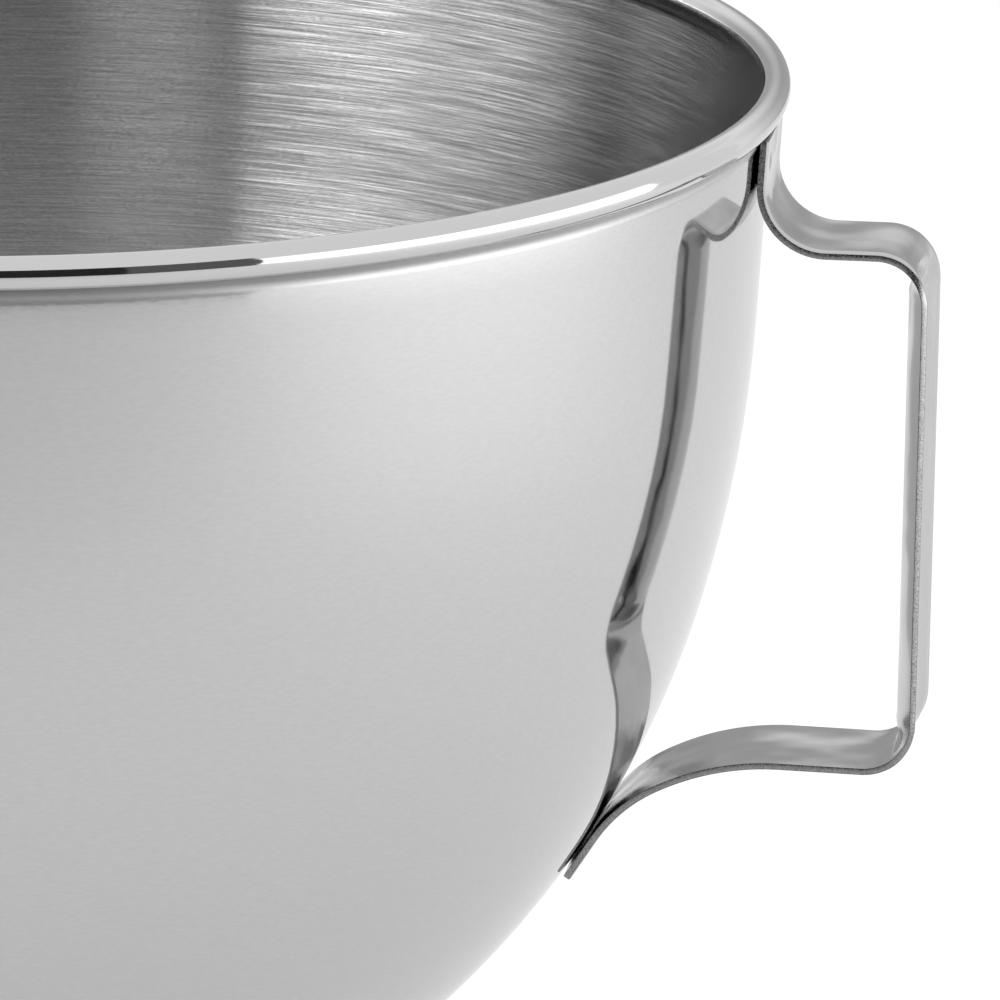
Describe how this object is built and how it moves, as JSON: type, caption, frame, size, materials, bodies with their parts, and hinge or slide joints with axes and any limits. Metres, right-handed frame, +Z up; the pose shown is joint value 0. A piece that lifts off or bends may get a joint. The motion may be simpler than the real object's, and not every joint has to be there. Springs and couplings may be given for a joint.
{
  "type": "stand mixer bowl",
  "caption": "Stainless steel mixing bowl for a tilt-head stand mixer, with a rolled rim, a bent strap handle with a hollowed grip, and a twist-lock base ring.",
  "frame": {"origin": "on the bowl's axis, in the plane that the base ring stands on", "axes": "+Z up along the bowl's axis, +X towards the handle, +Y to the left of the handle seen from above"},
  "size_m": [0.2428, 0.222, 0.1595],
  "materials": {
    "bowl_steel": "polished outside and on the rim, brushed round the inside",
    "handle_steel": "satin polished, with sheared edges",
    "ring_steel": "satin polished"
  },
  "bodies": {
    "root": {"bowl_shell": "bowl_steel", "handle_strap": "handle_steel", "base_ring": "ring_steel"}
  },
  "joints": []
}
